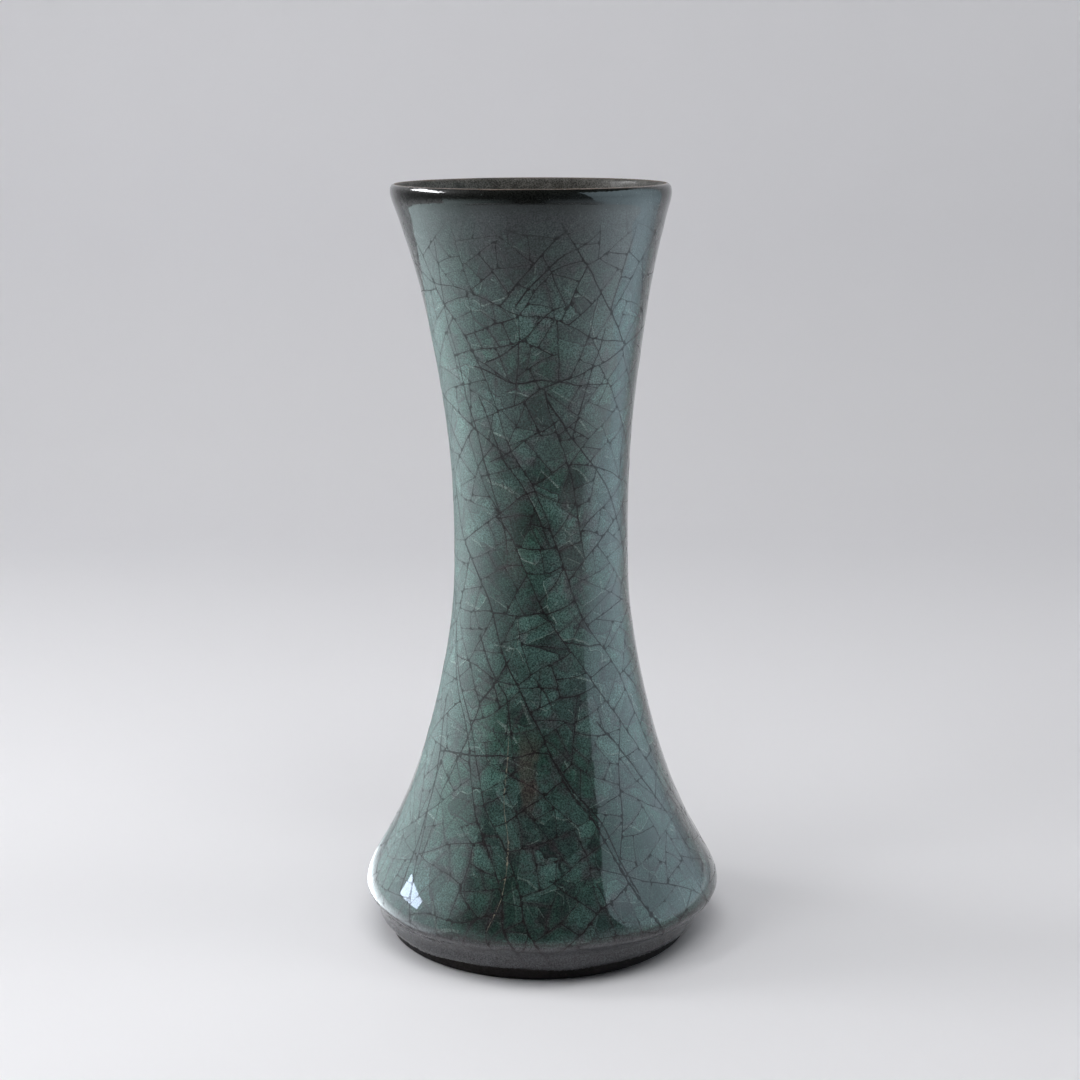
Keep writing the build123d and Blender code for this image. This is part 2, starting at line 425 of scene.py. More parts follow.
def glaze_sheet(cracks):
    """All points of the unrolled glaze, and the edges that have to stay in it."""
    starts, ends, widths, spine, value, edges, pale_edges, beside, owner = trace_cracks(cracks)
    # a point beside one crack is dropped where it falls inside the band of another
    dist, near = segment_distance(beside, starts, ends)
    room = np.minimum(widths[near], widths[owner]) * BESIDE_SHARE
    u, m = beside.T
    within = (u > SHEET_MARGIN) & (u < TURN - SHEET_MARGIN) & (m > SHEET_MARGIN)
    beside = beside[(dist * radius_at(m) > room) & within]
    grid = sheet_grid()
    dist, near = segment_distance(grid, starts, ends)
    clear = dist * radius_at(grid[:, 1]) > widths[near] / 2 + GRID_GAP
    at_start, at_end = grid[:, 0] < ON_SEAM, grid[:, 0] > TURN - ON_SEAM
    on_seam = (spine[:, 0] < ON_SEAM) | (spine[:, 0] > TURN - ON_SEAM)
    # the same heights on both sides of the seam, so that they weld
    seam_m = np.unique(np.round(np.r_[grid[at_start, 1], spine[on_seam, 1]], 9))
    inside = grid[clear & ~at_start & ~at_end]
    seam = np.r_[tuple(np.c_[np.full(len(seam_m), u), seam_m] for u in (0.0, TURN))]
    points = np.r_[spine, beside, inside, seam]
    values = np.r_[value, np.zeros(len(points) - len(spine))]
    first, count = len(points) - len(seam), len(seam_m)
    seam_edges = [(i, i + 1) for side in (first, first + count)
                  for i in range(side, side + count - 1)]
    dist, _ = segment_distance(points, starts, ends)
    return points, values, edges, pale_edges + seam_edges, dist * radius_at(points[:, 1])


# Waves in space that bend the cracks, as (length, height) of a wave.
WANDER_SIZES = ((34.0, 0.75), (27.0, 0.60), (23.0, 0.51), (15.0, 0.20),
                (13.0, 0.17), (8.0, 0.07), (7.0, 0.06), (6.0, 0.05))
WANDERS = [(rng.normal(0, 1, 3), rng.uniform(0, TURN), a, w) for w, a in WANDER_SIZES]


def wander(u, m, which):
    """Slow sideways wander of the cracks, in millimetres, the same on both sides of the seam."""
    r, z = radius_at(m), np.interp(m, iso, glaze_path[:, 1])
    place = np.stack([r * np.cos(u), r * np.sin(u), z], -1)
    total = np.zeros(len(u))
    for direction, phase, size, wave in WANDERS:
        d = np.roll(direction, which)
        total += size * np.sin(place @ (d / np.linalg.norm(d)) * TURN / wave + phase + 1.7 * which)
    return total


# Waves of the glaze line and of the arris, as (height of a wave, waves in a turn, phase).
LINE_WAVES = ((0.34, 3, 0.6), (0.24, 7, 2.1), (0.16, 13, 4.0))
ARRIS_WAVES = ((0.30, 4, 1.1), (0.22, 9, 0.4), (0.12, 17, 0.0))


def edge_wave(theta, z, s):
    """The glaze line above the foot and the arris of the skirt both run a little up and down."""
    line, arris = (sum(a * np.sin(k * theta + phase) for a, k, phase in waves)
                   for waves in (LINE_WAVES, ARRIS_WAVES))
    near_line = 1 - smooth_step(s, 0.5, 5.0)
    near_arris = np.exp(-((z - 13.0) / 2.6) ** 2)
    return line * near_line + arris * near_arris


def surface(u, m, lift):
    """Places in millimetres of points of the sheet, lifted off the glaze, and the normals."""
    s = arc_at(m)
    slope = np.gradient(glaze_path, arc, axis=0)
    along_r, along_z = np.interp(s, arc, slope[:, 0]), np.interp(s, arc, slope[:, 1])
    size = np.hypot(along_r, along_z)
    out_r, out_z = along_z / size, -along_r / size
    theta = u + SEAM_TURN
    z = np.interp(s, arc, glaze_path[:, 1])
    z = z + edge_wave(theta, z, s)
    r = np.interp(s, arc, glaze_path[:, 0]) + throwing(theta, z) + lift * out_r
    z = z + lift * out_z
    place = np.stack([centre_x(z) + r * np.cos(theta), r * np.sin(theta), z], -1)
    return place, np.stack([out_r * np.cos(theta), out_r * np.sin(theta), out_z], -1)


def join_flakes(faces, is_crack):
    """Numbers the flakes: faces joined over every edge that is no crack."""
    link = list(range(len(faces)))
    owner = {}

    def root_of(i):
        while link[i] != i:
            link[i] = link[link[i]]
            i = link[i]
        return i

    for i, (a, b, c) in enumerate(faces.tolist()):
        for pair in ((a, b), (b, c), (c, a)):
            e = (min(pair), max(pair))
            if e in is_crack:
                continue
            if e in owner:
                link[root_of(i)] = root_of(owner[e])
            else:
                owner[e] = i
    return np.unique([root_of(i) for i in range(len(faces))], return_inverse=True)[1]


# Flakes: the scatter of their tilt, how far from its middle one tilts and how high it may rise.
FLAKE_TILT, FLAKE_REACH, FLAKE_RISE = 0.006, 12, 0.08
# Cracks: their depth and that of the rest, the reach of their stain, and their strength where
# they cross. Then how near two points are the same.
GROOVE, SUNK, STAIN_REACH, CROSSING = 0.035, 0.02, 0.9, 0.9
SAME_POINT, WELD_ANGLE, WELD_HEIGHT = 1e-8, 1e-7, 1e-6


def crackled_glaze(name):
    """The outer glaze as one mesh whose edges follow the cracks, with a tilt for each flake."""
    points, values, crack_edges, other_edges, near_mm = glaze_sheet(fracture() + placed_cracks())
    flat, edges, faces, from_points, from_edges, _ = geometry.delaunay_2d_cdt(
        [Vector(p) for p in points], crack_edges + other_edges, [], 0, SAME_POINT, True)
    flat, faces = np.array(flat), np.array(faces)
    value = np.array([max((values[i] for i in ids), key=abs, default=CROSSING)
                      for ids in from_points])
    near_mm = np.array([min((near_mm[i] for i in ids), default=0.0) for ids in from_points])
    is_crack = {tuple(sorted(e)) for e, ids in zip(edges, from_edges)
                if any(i < len(crack_edges) for i in ids)}
    flake_of_face = join_flakes(faces, is_crack)
    flakes = flake_of_face.max() + 1
    tone = rng.uniform(0, 1, flakes)
    tilt_u, tilt_m = rng.normal(0, 1, flakes), rng.normal(0, 1, flakes)
    flake_of_vert = np.full(len(flat), -1)
    flake_of_vert[faces.ravel()] = np.repeat(flake_of_face, 3)
    middle, count = np.zeros((flakes, 2)), np.zeros(flakes)
    np.add.at(middle, flake_of_face, flat[faces].mean(1))
    np.add.at(count, flake_of_face, 1)
    middle /= np.maximum(count, 1)[:, None]
    u, m = flat[:, 0], flat[:, 1]
    s, radius = arc_at(m), radius_at(m)
    off = (flat - middle[flake_of_vert]) * radius[:, None]
    on_body = smooth_step(s, 3.0, 12.0) * (1 - smooth_step(s, ARC_LIP - 14, ARC_LIP - 4))
    spine = value != 0
    near_middle = np.hypot(*off.T) < FLAKE_REACH
    tilted = np.where(spine, 0.0, on_body * near_middle * FLAKE_TILT)
    lean_u, lean_m = tilt_u[flake_of_vert] * tilted, tilt_m[flake_of_vert] * tilted
    lift = np.clip(lean_u * off[:, 0] + lean_m * off[:, 1], -FLAKE_RISE, FLAKE_RISE)
    lift -= on_body * np.where(spine, GROOVE, SUNK)
    calm = 1 - smooth_step(s, ARC_LIP - 12, ARC_LIP - 4)
    moved_u = u + wander(u, m, 0) / radius * calm
    moved_m = m + wander(u, m, 1) / radius * calm * smooth_step(s, 0.0, 8.0)
    verts, normal = surface(moved_u, moved_m, lift)
    theta = moved_u + SEAM_TURN
    east = np.stack([-np.sin(theta), np.cos(theta), np.zeros(len(u))], -1)
    normal = normal - east * lean_u[:, None] - np.cross(normal, east) * lean_m[:, None]
    normal /= np.linalg.norm(normal, axis=1)[:, None]
    # weld the seam
    at_start = np.nonzero(flat[:, 0] < WELD_ANGLE)[0]
    swap = np.arange(len(flat))
    for i in np.nonzero(flat[:, 0] > TURN - WELD_ANGLE)[0]:
        j = at_start[np.argmin(np.abs(flat[at_start, 1] - flat[i, 1]))]
        if abs(flat[j, 1] - flat[i, 1]) < WELD_HEIGHT:
            swap[i] = j
    used, faces = np.unique(swap[faces], return_inverse=True)
    obj = make_mesh(name, verts[used] * MM, faces.reshape(-1, 3).tolist())
    for label, domain, numbers in (
        ("crack", "POINT", np.clip(value[used], 0, 1)),
        ("pale", "POINT", np.clip(-value[used], 0, 1)),
        ("stain", "POINT", np.exp(-near_mm[used] / STAIN_REACH)),
        ("flake", "FACE", tone[flake_of_face]),
    ):
        attribute = obj.data.attributes.new(label, "FLOAT", domain)
        attribute.data.foreach_set("value", numbers.astype(np.float32))
    obj.data.normals_split_custom_set_from_vertices([tuple(n) for n in normal[used]])
    return obj


outer = crackled_glaze("glaze_coat")

# ---- liner, clay and base glaze
FOOT_WALL = ((38.2, 0.0), (44.6, 0.0), (45.5, 3.2), (47.1, 5.2), (48.6, 11.1))
LINER_BEND = ((40.2, 19.0), (37.6, 17.0), (34.0, 15.5), (30.0, 14.3), (24.0, 13.2), (16.0, 12.5),
              (8.0, 12.1), (0.0, 12.0))
CLAY_FLOOR = ((40.7, 18.3), (38.0, 16.3), (34.3, 14.8), (24.0, 12.5), (8.0, 11.5), (0.0, 11.4))
CLAY_LIP = ((37.7, 219.2), (37.1, 219.0))
ROOF_HEIGHT, BASE_COAT, COVE, LAP_TUCK = 3.6, 0.6, 2.0, 0.35


def liner_path():
    """Surface of the liner glaze as (radius, height), from under the lap to the floor's centre."""
    heights = np.arange(LAP_HEIGHT + 0.8, 21.0, -1.0)
    tuck = LAP_TUCK * smooth_step(heights, LAP_HEIGHT - 1.2, LAP_HEIGHT + 0.6)
    return [*zip(body_radius(heights) - wall(heights) + tuck, heights), *LINER_BEND]


def liner_relief(theta, s, z):
    """Throwing rings that wind round the inside, fainter near the mouth."""
    rings = np.sin(s * TURN / 5.2 + theta) + 0.4 * np.sin(s * TURN / 3.1 + 2 * theta + 1.0)
    return 0.05 * rings * (0.3 + 0.7 * (1 - smooth_step(z, 150, 205)))


def cove(radius, count):
    """Quarter round between the roof and the wall of the recess, as (radius, height)."""
    turn = np.linspace(0, pi / 2, count)
    centre, low = RECESS_RADIUS - COVE, ROOF_HEIGHT - COVE
    return [(centre + radius * sin(a), low + radius * cos(a)) for a in turn]


def clay_path():
    """Outline of the clay as (radius, height): recess, foot, outside, lip, inside, floor."""
    foot = turned([*cove(COVE, 8), *FOOT_WALL], 0.15, 0.28)
    heights = np.r_[12.6, 13.4, 15.0, 18.0, np.arange(22.0, 216.0, 4.0), 217.5]
    outside = np.c_[body_radius(heights) - 1.3 + 0.7 * heights / HEIGHT, heights]
    heights = heights[:3:-1]
    inside = np.c_[body_radius(heights) - wall(heights) + 0.55, heights]
    roof = [(0.0, ROOF_HEIGHT), (18.0, ROOF_HEIGHT)]
    return np.r_[roof, foot, outside, CLAY_LIP, inside, CLAY_FLOOR]


def clay_relief(theta, s, z):
    """Trimming lines left by the turning tool on the foot, and a little sag of the edges."""
    lines = np.sin(s * TURN / 0.62) + 0.6 * np.sin(s * TURN / 0.41 + 1.0)
    lines = lines + 0.5 * np.sin(3 * theta + s * 2.0)
    return (0.016 * lines - 0.035) * (1 - smooth_step(z, 3.0, 6.0))


def base_path():
    """Surface of the glaze in the recess as (radius, height), from the centre outwards."""
    edge = (RECESS_RADIUS + 0.15, ROOF_HEIGHT - COVE - 0.2)
    return [(0.0, ROOF_HEIGHT - BASE_COAT), *cove(COVE - BASE_COAT, 10), edge]


def base_relief(theta, s, z):
    """A faint spiral from the turning tool under the glaze, and a low pool in the middle."""
    return 0.03 * np.sin(s * TURN / 3.4 + theta) * smooth_step(s, 2.0, 8.0) - 0.03


liner = lathe("liner_glaze_coat", turned(liner_path(), 0.7, 1.6), 220, liner_relief)
clay = lathe("clay_foot_and_wall", clay_path(), 300, clay_relief)
base = lathe("base_glaze_coat", turned(base_path(), 0.3, 0.5), 260, base_relief)


# ---- materials, in millimetres
class Paint:
    """Short calls for building the nodes of one material."""

    def __init__(self, name, **sockets):
        self.material = bpy.data.materials.new(name)
        self.material.use_nodes = True
        self.tree = self.material.node_tree
        self.tree.nodes.clear()
        self.shader = self.add("ShaderNodeBsdfPrincipled")
        out = self.add("ShaderNodeOutputMaterial")
        self.tree.links.new(self.shader.outputs[0], out.inputs[0])
        for socket, value in sockets.items():
            self.shader.inputs[socket.replace("_", " ")].default_value = value
        place = self.add("ShaderNodeTexCoord").outputs["Object"]
        self.place = self.vector("MULTIPLY", place, (1 / MM,) * 3)

    def add(self, kind, **settings):
        node = self.tree.nodes.new(kind)
        for key, value in settings.items():
            setattr(node, key, value)
        return node

    def put(self, socket, value):
        """A number, a colour or another node's output goes into a socket."""
        if isinstance(value, bpy.types.NodeSocket):
            self.tree.links.new(value, socket)
        elif isinstance(value, tuple) and len(value) == 3 and socket.type == "RGBA":
            socket.default_value = (*value, 1)
        else:
            socket.default_value = value

    def filled(self, kind, *values, **settings):
        """A new node with values in its first inputs."""
        node = self.add(kind, **settings)
        for socket, value in zip(node.inputs, values):
            self.put(socket, value)
        return node

    def math(self, operation, a, b=0.0):
        return self.filled("ShaderNodeMath", a, b, operation=operation).outputs[0]

    def plus(self, a, b):
        return self.math("ADD", a, b)

    def minus(self, a, b):
        return self.math("SUBTRACT", a, b)

    def times(self, *values):
        total = values[0]
        for value in values[1:]:
            total = self.math("MULTIPLY", total, value)
        return total

    def vector(self, operation, a, b):
        return self.filled("ShaderNodeVectorMath", a, b, operation=operation).outputs[0]

    def span(self, value, low, high, to_low=0.0, to_high=1.0):
        """Eases from one number to another while a value goes from low to high."""
        return self.filled("ShaderNodeMapRange", value, low, high, to_low, to_high,
                           interpolation_type="SMOOTHSTEP").outputs[0]

    def falling(self, value, low, high):
        """Eases from one to nothing while a value goes from low to high."""
        return self.span(value, low, high, 1.0, 0.0)

    def mix(self, factor, a, b):
        """Colour a where the factor is nothing, and colour b where it is one."""
        node = self.add("ShaderNodeMix", data_type="RGBA")
        self.put(node.inputs[0], factor)
        self.put(node.inputs[6], a)
        self.put(node.inputs[7], b)
        return node.outputs[2]

    def lay(self, colour, over, *masks):
        """A colour with another one laid over it, as far as all the masks allow."""
        return self.mix(self.times(*masks), colour, over)

    def scaled(self, colour, factor):
        node = self.filled("ShaderNodeVectorMath", colour, operation="SCALE")
        self.put(node.inputs["Scale"], factor)
        return node.outputs[0]

    def noise(self, size, detail, rough=0.5, colour=False):
        """Noise with features of a given size, as a number or as a colour."""
        node = self.filled("ShaderNodeTexNoise", self.place)
        self.put(node.inputs["Scale"], 1 / size)
        self.put(node.inputs["Detail"], detail)
        self.put(node.inputs["Roughness"], rough)
        return node.outputs[1 if colour else 0]

    def patches(self, grain, low, high, to_low=0.0, to_high=1.0):
        """Soft-edged patches of noise. Its grain is (size, detail) or (size, detail, rough)."""
        return self.span(self.noise(*grain), low, high, to_low, to_high)

    def cells(self, size, output, place=None, feature="F1"):
        """One output of a pattern of cells of a given size."""
        node = self.filled("ShaderNodeTexVoronoi", place or self.place, feature=feature)
        self.put(node.inputs["Scale"], 1 / size)
        return node.outputs[output]

    def veins(self, size, *wobble, low, high):
        """Lines along the edges of wobbly cells, one on the edge and nothing beside it."""
        edge = self.cells(size, "Distance", self.wobbled(*wobble), "DISTANCE_TO_EDGE")
        return self.falling(edge, low, high)

    def wobbled(self, size, reach, shift=(0.0, 0.0, 0.0)):
        """The place, pushed about by noise of a given size, and then shifted."""
        push = self.vector("SUBTRACT", self.noise(size, 1.0, colour=True), (0.5, 0.5, 0.5))
        moved = self.vector("ADD", self.place, self.vector("MULTIPLY", push, (reach,) * 3))
        return self.vector("ADD", moved, shift)

    def red(self, colour):
        return self.filled("ShaderNodeSeparateColor", colour).outputs[0]

    def attribute(self, name):
        return self.add("ShaderNodeAttribute", attribute_name=name).outputs["Fac"]

    def xyz(self):
        return self.filled("ShaderNodeSeparateXYZ", self.place).outputs

    def from_axis(self, shift):
        """Distance from an upright axis that stands some way along x."""
        beside = self.vector("SUBTRACT", self.place, (shift, 0.0, 0.0))
        flat = self.vector("MULTIPLY", beside, (1.0, 1.0, 0.0))
        return self.filled("ShaderNodeVectorMath", flat, operation="LENGTH").outputs["Value"]

    def bump(self, value, depth, strength, before=None):
        """Relief of a given depth in millimetres, over an earlier one where there is one."""
        node = self.add("ShaderNodeBump")
        self.put(node.inputs["Strength"], strength)
        self.put(node.inputs["Distance"], depth * MM)
        self.put(node.inputs["Height"], value)
        if before is not None:
            self.put(node.inputs["Normal"], before)
        return node.outputs[0]

    def into(self, socket, value):
        self.put(self.shader.inputs[socket], value)

    def colour_with(self, obj):
        obj.data.materials.clear()
        obj.data.materials.append(self.material)


GLAZE = {"Coat_Weight": 1.0, "Coat_IOR": 1.5, "Specular_IOR_Level": 0.12}
STAINED = (0.011, 0.008, 0.009)
SATIN = (2.0, 2.0), 0.3, 0.7

# Heights between which each thing on the outer glaze comes or goes.
POOL, THIN, LIP_BAND, CREST_LINE = (18.0, 64.0), (182.0, 214.0), (212.0, 216.0), (219.60, 219.90)
# the first pair on the next line: heights over which the painted reflection of the table below the
# arris fades out upwards
TABLE_REFLECTION_BELOW, SEAM_FROM, SEAM_TO = (12.9, 14.3), (13.6, 14.1), (14.1, 14.9)
CRACKS_TO, CRACKS_FROM = (204.0, 215.0), (9.0, 13.5)
STREAK_FROM, STREAK_TO = (44.0, 52.0), (62.0, 72.0)


def lit_and_shaded_scale_edges(mat, size, shift):
    """Overlapping flakes: where a cell differs from its shifted self there is painted shade along
    one side and a painted highlight along the other, as on a small step lit from one side. Returns
    both and the cell's own number."""
    first = mat.red(mat.cells(size, "Color", mat.wobbled(5.0, 1.3)))
    second = mat.red(mat.cells(size, "Color", mat.wobbled(5.0, 1.3, shift)))
    step = mat.minus(first, second)
    return mat.falling(step, -0.40, -0.05), mat.span(step, 0.05, 0.40), first


def glaze_colour(mat, shade):
    """Celadon over iron clay: slow drifts, mottling, and two sizes of overlapping flakes whose
    edges carry painted shade and painted highlights.
    """
    slow = mat.patches((24.0, 1.0), 0.35, 0.65)
    colour = mat.mix(slow, (0.018, 0.044, 0.034), (0.034, 0.065, 0.058))
    blotch = mat.patches((6.5, 3.0, 0.6), 0.50, 0.70)
    colour = mat.lay(colour, (0.031, 0.029, 0.032), blotch, 0.70)
    for size, shift, tones, seen, edges in (
        (7.4, (-0.26, -0.18, -0.42), (0.66, 1.42), ((8.0, 1.0), 0.34, 0.52),
         ((0.80, (0.015, 0.017, 0.017)), (0.68, (0.105, 0.145, 0.128)))),
        (4.4, (0.18, 0.22, 0.20), (0.86, 1.16), ((6.0, 1.0), 0.44, 0.58),
         ((0.60, (0.017, 0.018, 0.018)), (0.50, (0.095, 0.128, 0.116)))),
    ):
        # each flake edge gets painted shade on one side and a painted highlight on the other; the
        # last column holds the share and colour of each
        *shade_and_highlight_sides, cell = lit_and_shaded_scale_edges(mat, size, shift)
        colour = mat.scaled(colour, mat.span(cell, 0.0, 1.0, *tones))
        shown = mat.patches(*seen)
        for side, (share, tint) in zip(shade_and_highlight_sides, edges):
            colour = mat.lay(colour, tint, side, shown, share)
    return mat.scaled(colour, shade)


def with_grain(mat, colour, low=0.42, high=1.74, speck=(0.12, 0.15, 0.14)):
    """Fine grain and a few pale specks."""
    colour = mat.scaled(colour, mat.patches((0.44, 2.0, 0.8), 0.34, 0.66, low, high))
    dots = mat.falling(mat.cells(1.4, "Distance"), 0.05, 0.17)
    some = mat.patches((3.0, 1.0), 0.46, 0.60)
    return mat.lay(colour, speck, dots, some, 0.6)


def cracked_relief(mat, crack):
    """Relief of a glaze: a slow unevenness, with the cracks sunk into it."""
    relief = mat.bump(mat.noise(0.8, 2.0), 0.05, 0.5)
    mat.into("Normal", mat.bump(mat.minus(1.0, crack), 0.06, 0.6, relief))


def celadon_crackle():
    """Glaze with stained cracks, thin and iron-brown at the lip and below the arris."""
    mat = Paint("celadon_crackle", Coat_Roughness=0.035, **GLAZE)
    x, y, z = mat.xyz()
    colour = glaze_colour(mat, mat.span(z, *POOL, 0.76, 1.20))
    colour = mat.scaled(colour, mat.span(mat.attribute("flake"), 0.0, 1.0, 0.82, 1.22))
    uneven = mat.times(mat.minus(mat.noise(7.0, 2.0), 0.5), 26.0)

    # the thin glaze of the neck, the dark lip, a grey zone below the arris that is a painted
    # reflection of the table, and the seam at the arris
    thin = mat.span(mat.plus(z, uneven), *THIN)
    colour = mat.lay(colour, (0.026, 0.024, 0.027), thin, 0.80)
    rim = mat.span(mat.plus(z, mat.times(uneven, 0.06)), *LIP_BAND)
    colour = mat.mix(rim, colour, (0.005, 0.0055, 0.0045))
    edge = mat.plus(z, mat.times(uneven, 0.12))
    # painted reflection of the table: a grey-blue colour below the arris
    grey = mat.falling(edge, *TABLE_REFLECTION_BELOW)
    colour = mat.lay(colour, (0.048, 0.047, 0.053), grey, 0.9)
    above, below = mat.span(edge, *SEAM_FROM), mat.falling(edge, *SEAM_TO)
    colour = mat.lay(colour, (0.016, 0.014, 0.015), above, below, 0.65)

    # the brown stain beside the cracks, a brown streak low on the front, and the cracks
    stain = mat.span(mat.attribute("stain"), 0.15, 0.95)
    patchy = mat.patches((11.0, 2.0), 0.36, 0.64, 0.25, 1.0)
    covered = mat.times(mat.falling(z, *CRACKS_TO), mat.span(z, *CRACKS_FROM, 0.35, 1.0))
    colour = mat.lay(colour, (0.030, 0.024, 0.027), stain, patchy, covered, 0.62)
    off_streak = mat.math("ABSOLUTE", mat.plus(x, mat.plus(mat.times(uneven, 0.25), 3.6)))
    streak, front = mat.falling(off_streak, 1.2, 3.4), mat.falling(y, -5.0, 0.0)
    above, below = mat.span(z, *STREAK_FROM), mat.falling(z, *STREAK_TO)
    colour = mat.lay(colour, (0.060, 0.046, 0.038), streak, above, below, front, 0.55)
    worn = mat.patches((2.6, 2.0), 0.30, 0.56, 0.55, 1.0)
    crack = mat.span(mat.attribute("crack"), 0.12, 0.56)
    colour = mat.lay(colour, STAINED, crack, worn, covered, 0.96)

    # inside the mouth the glaze is thin and dull
    flare = mat.times(mat.minus(HEIGHT, z), 0.24)
    from_side = mat.plus(mat.from_axis(RIM_DRIFT), flare)
    inward = mat.falling(from_side, CREST_RADIUS - 0.6, CREST_RADIUS + 0.2)
    mottled = mat.patches((4.0, 3.0), 0.35, 0.65)
    inside = mat.mix(mottled, (0.045, 0.044, 0.040), (0.075, 0.073, 0.067))
    colour = with_grain(mat, mat.mix(inward, colour, inside))

    # the pale crack, and a pale tan line along the crest, partly glaze worn thin there and partly
    # a painted highlight of the crest
    pale = mat.span(mat.attribute("pale"), 0.25, 0.75)
    broken = mat.patches((1.1, 2.0), 0.40, 0.55, 0.35, 1.0)
    colour = mat.lay(colour, (0.26, 0.24, 0.18), pale, broken, 0.75)
    # pale tan line on the crest: partly thin glaze, partly a painted highlight
    crest_thin_glaze_and_highlight = mat.span(mat.plus(z, mat.times(uneven, 0.015)), *CREST_LINE)
    colour = mat.lay(colour, (0.150, 0.105, 0.075), crest_thin_glaze_and_highlight, 0.8)

    mat.into("Base Color", colour)
    mat.into("Roughness", mat.patches(*SATIN, 0.40, 0.58))
    open_crack = mat.span(mat.times(crack, covered), 0.0, 1.0, 1.0, 0.4)
    dull = mat.span(inward, 0.0, 1.0, 1.0, 0.04)
    mat.into("Coat Weight", mat.times(dull, open_crack))
    cracked_relief(mat, crack)
    mat.into("Coat Normal", mat.bump(mat.noise(0.5, 2.0, 0.7), 0.004, 0.5))
    return mat


def liner_glaze():
    """Thin dark brown-grey glaze of the inside, greener where it pooled on the floor."""
    mat = Paint("liner_glaze", Coat_Weight=0.10, Coat_Roughness=0.30, Coat_IOR=1.5,
                Specular_IOR_Level=0.2)
    z = mat.xyz()[2]
    mottled = mat.patches((9.0, 3.0, 0.6), 0.35, 0.65)
    colour = mat.mix(mottled, (0.085, 0.083, 0.075), (0.13, 0.127, 0.115))
    pooled = mat.falling(mat.plus(z, mat.times(mat.noise(6.0, 2.0), 12.0)), 18.0, 34.0)
    colour = mat.lay(colour, (0.050, 0.088, 0.078), pooled, 0.8)
    cracks = mat.veins(8.0, 6.0, 3.0, low=0.010, high=0.032)
    fewer = mat.span(z, 20.0, 190.0, 0.8, 0.15)
    colour = mat.lay(colour, (0.012, 0.009, 0.009), cracks, fewer)
    mat.into("Base Color", with_grain(mat, colour, 0.5, 1.6, (0.20, 0.19, 0.18)))
    mat.into("Roughness", mat.patches(*SATIN, 0.42, 0.62))
    mat.into("Normal", mat.bump(mat.noise(1.1, 3.0), 0.08, 0.5))
    return mat


def iron_clay():
    """Unglazed dark stoneware: fine pitting with painted shade darkening each pit, sandy specks
    and a slight wear on the contact face.
    """
    mat = Paint("iron_clay", Specular_IOR_Level=0.25)
    z = mat.xyz()[2]
    mottled = mat.patches((7.0, 4.0, 0.6), 0.32, 0.68)
    colour = mat.mix(mottled, (0.008, 0.0055, 0.0055), (0.017, 0.0125, 0.012))
    worn = mat.times(mat.falling(z, 0.05, 0.5), mat.patches((3.0, 3.0), 0.40, 0.62))
    colour = mat.lay(colour, (0.075, 0.058, 0.048), worn, 0.6)
    colour = with_grain(mat, colour, 0.55, 1.5, (0.13, 0.10, 0.08))
    pits_with_shade = mat.span(mat.cells(1.1, "Distance", mat.wobbled(2.0, 1.0)), 0.05, 0.22)
    # each pit is darkened in the colour as painted shade
    mat.into("Base Color", mat.scaled(colour, mat.span(pits_with_shade, 0.0, 1.0, 0.45, 1.0)))
    mat.into("Roughness", mat.patches((1.2, 3.0), 0.3, 0.7, 0.62, 0.86))
    sandy = mat.bump(mat.noise(0.35, 3.0, 0.65), 0.10, 0.6)
    mat.into("Normal", mat.bump(pits_with_shade, 0.12, 0.7, sandy))
    return mat


def recess_glaze():
    """Celadon under the base: thick, glossy, with its own crackle and a brown edge."""
    mat = Paint("recess_glaze", Coat_Roughness=0.04, **GLAZE)
    colour = glaze_colour(mat, 1.15)
    large = mat.veins(11.0, 9.0, 4.0, low=0.012, high=0.034)
    small = mat.veins(5.5, 6.0, 2.5, low=0.012, high=0.030)
    cracks = mat.math("MAXIMUM", large, mat.times(small, 0.55))
    colour = mat.lay(colour, STAINED, cracks, 0.9)
    outwards = mat.plus(mat.from_axis(FOOT_DRIFT), mat.times(mat.noise(4.0, 2.0), 2.0))
    rim = mat.span(outwards, 35.6, 37.6)
    colour = mat.lay(colour, (0.042, 0.032, 0.028), rim, 0.85)
    mat.into("Base Color", with_grain(mat, colour))
    mat.into("Roughness", mat.patches(*SATIN, 0.40, 0.58))
    cracked_relief(mat, cracks)
    return mat


for obj, mat, node, slot in (
    (outer, celadon_crackle(), "outer_glaze", "celadon_glaze"),
    (liner, liner_glaze(), "inner_glaze", "liner_glaze"),
    (clay, iron_clay(), "clay_body", "dark_clay"),
    (base, recess_glaze(), "base_glaze", "base_glaze"),
):
    mat.colour_with(obj)
    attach(obj, "root")
    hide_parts(node)


# ---- stage, in metres
FLOOR_NEAR, FLOOR_END, FLOOR_SIDE = -2.4, 0.52, 3.5
WALL_BEND, BEND_STEPS, WALL_TOP = 0.16, 12, 2.2
CARD_SIDE, CARD_FAR, CARD_NEAR, CARD_RISE = 1.6, -2.4, -0.40, 0.004
CARD_FADE = (-560.0, -420.0)  # in millimetres, as materials are
ROOM_COLOUR, ROOM_GLOW = (0.55, 0.6, 0.7, 1), 0.02


def only_reflected(obj):
    """Hides an object from all but reflections."""
    obj.visible_camera = obj.visible_diffuse = False
    obj.visible_shadow = obj.visible_transmission = False


